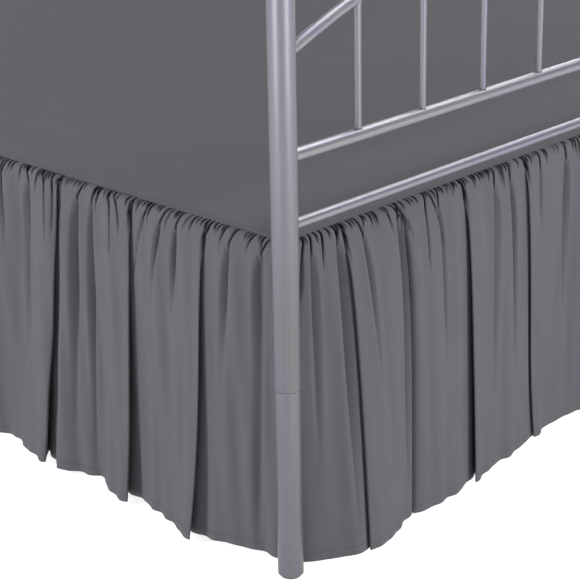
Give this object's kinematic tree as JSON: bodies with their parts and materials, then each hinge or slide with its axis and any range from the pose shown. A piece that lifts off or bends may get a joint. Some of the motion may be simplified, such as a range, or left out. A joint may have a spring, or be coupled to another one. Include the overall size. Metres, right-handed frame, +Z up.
{
  "type": "bed skirt on a metal bed",
  "caption": "Gathered cloth bed skirt with a flat deck and split corners, on a box spring in a silver tubular metal bed with arched ends.",
  "frame": {"origin": "on the floor, under the middle of the whole bed and its skirt", "axes": "+Y along the bed towards its head, +Z up, +X to the bed's right seen from the foot"},
  "size_m": [1.6333, 2.134, 1.1456],
  "materials": {
    "skirt_cloth": "matt brushed weave",
    "ticking": "matt weave",
    "silver_steel": "satin metallic paint",
    "glide_plastic": "matt"
  },
  "bodies": {
    "root": {"box_spring": "ticking", "centre_leg_1": "silver_steel", "centre_leg_2": "silver_steel", "centre_leg_3": "silver_steel", "deck_panel": "skirt_cloth", "foot_arch": "silver_steel", "foot_low_rail": "silver_steel", "foot_mid_rail": "silver_steel", "foot_spindle_01": "silver_steel", "foot_spindle_02": "silver_steel", "foot_spindle_03": "silver_steel", "foot_spindle_04": "silver_steel", "foot_spindle_05": "silver_steel", "foot_spindle_06": "silver_steel", "foot_spindle_07": "silver_steel", "foot_spindle_08": "silver_steel", "foot_spindle_09": "silver_steel", "foot_spindle_10": "silver_steel", "foot_spindle_11": "silver_steel", "glide_foot_left": "glide_plastic", "glide_foot_right": "glide_plastic", "glide_head_left": "glide_plastic", "glide_head_right": "glide_plastic", "head_arch": "silver_steel", "head_low_rail": "silver_steel", "head_mid_rail": "silver_steel", "head_spindle_01": "silver_steel", "head_spindle_02": "silver_steel", "head_spindle_03": "silver_steel", "head_spindle_04": "silver_steel", "head_spindle_05": "silver_steel", "head_spindle_06": "silver_steel", "head_spindle_07": "silver_steel", "head_spindle_08": "silver_steel", "head_spindle_09": "silver_steel", "head_spindle_10": "silver_steel", "head_spindle_11": "silver_steel", "hook_plate_foot_left": "silver_steel", "hook_plate_foot_right": "silver_steel", "hook_plate_head_left": "silver_steel", "hook_plate_head_right": "silver_steel", "leg_foot_left": "silver_steel", "leg_foot_right": "silver_steel", "leg_head_left": "silver_steel", "leg_head_right": "silver_steel", "post_foot_left": "silver_steel", "post_foot_right": "silver_steel", "post_head_left": "silver_steel", "post_head_right": "silver_steel", "ruffle_foot": "skirt_cloth", "ruffle_left": "skirt_cloth", "ruffle_right": "skirt_cloth", "side_rail_left": "silver_steel", "side_rail_right": "silver_steel", "slat_1": "silver_steel", "slat_2": "silver_steel", "slat_3": "silver_steel"}
  },
  "joints": []
}
